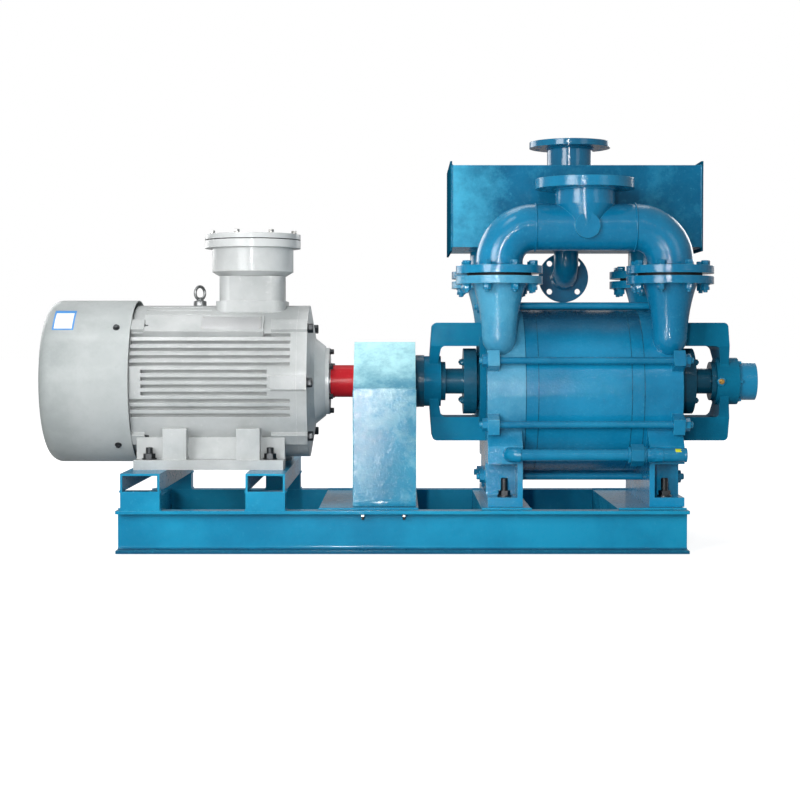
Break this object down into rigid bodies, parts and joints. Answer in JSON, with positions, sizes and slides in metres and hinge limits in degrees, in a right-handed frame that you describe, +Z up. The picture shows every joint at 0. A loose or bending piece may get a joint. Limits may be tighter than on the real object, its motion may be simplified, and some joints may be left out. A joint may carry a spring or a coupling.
{
  "type": "liquid ring vacuum pump set",
  "caption": "Liquid-ring vacuum pump driven through a guarded coupling by an explosion-proof motor, with gas and water separator, on a welded steel frame.",
  "frame": {"origin": "on the floor under the middle of the base frame", "axes": "+X along the shaft from the motor to the pump, +Y to the separator side at the back, +Z up"},
  "size_m": [2.114, 0.78, 1.21],
  "materials": {
    "frame_blue": "gloss enamel over welded steel section",
    "pump_blue": "gloss enamel over cast iron",
    "steel_blue": "gloss enamel over steel",
    "guard_blue": "lighter gloss enamel over sheet steel",
    "motor_grey": "light grey enamel over cast iron",
    "cowl_grey": "satin light grey enamel over sheet steel",
    "coupling_red": "red enamel over cast iron",
    "steel": "machined steel",
    "gasket_black": "compressed gasket",
    "copper": "varnished copper wire",
    "fan_alloy": "cast aluminium",
    "impeller_iron": "cast iron"
  },
  "bodies": {
    "skid": {"base_cross_members": "frame_blue", "base_front_rail": "frame_blue", "base_rear_rail": "frame_blue", "cable_gland": "motor_grey", "coupling_guard": "guard_blue", "discharge_risers": "steel_blue", "drive_bearing_bracket": "pump_blue", "drive_bearing_cover": "pump_blue", "drive_end_shield": "motor_grey", "drive_port_plate": "pump_blue", "drive_side_cover": "pump_blue", "fan_cowl": "cowl_grey", "fan_end_shield": "motor_grey", "free_bearing_bracket": "pump_blue", "free_end_cap": "pump_blue", "free_port_plate": "pump_blue", "free_side_cover": "pump_blue", "gland_followers": "pump_blue", "gland_packing": "gasket_black", "inner_bearing_caps": "pump_blue", "lifting_eye": "steel", "motor_bearing_covers": "motor_grey", "motor_bearings": "steel", "motor_foot_bolts": "steel", "motor_frame": "motor_grey", "motor_stool_channels": "frame_blue", "motor_stool_packers": "frame_blue", "overflow_elbow": "steel_blue", "port_gaskets": "gasket_black", "pump_bearings": "steel", "pump_casing": "pump_blue", "pump_foot_bolts": "steel", "separator_end_plates": "steel_blue", "separator_outlet": "steel_blue", "separator_tank": "steel_blue", "stator_core": "steel", "stator_windings": "copper", "suction_manifold": "pump_blue", "terminal_box_body": "motor_grey", "terminal_box_cover": "motor_grey", "terminal_box_gasket": "gasket_black", "terminal_box_neck": "motor_grey", "tie_rods": "steel_blue", "water_pipe": "steel_blue", "water_pipe_elbow": "steel_blue", "water_pipe_union": "steel_blue", "water_valve": "steel_blue"},
    "motor_rotor": {"motor_shaft": "steel", "rotor_core": "steel", "cooling_fan": "fan_alloy", "motor_half_coupling": "coupling_red", "coupling_pins": "steel"},
    "pump_rotor": {"pump_shaft": "steel", "shaft_sleeves": "steel", "impeller": "impeller_iron", "pump_half_coupling": "coupling_red"}
  },
  "joints": [
    {"name": "motor_spin", "type": "hinge", "parent": "skid", "child": "motor_rotor", "pos_m": [-0.4, 0, 0.474], "axis": [1, 0, 0], "continuous": true},
    {"name": "pump_spin", "type": "hinge", "parent": "skid", "child": "pump_rotor", "pos_m": [0.525, 0, 0.474], "axis": [1, 0, 0], "continuous": true}
  ],
  "couplings": [
    {"joint": "pump_spin", "follows": "motor_spin", "ratio": 1}
  ]
}
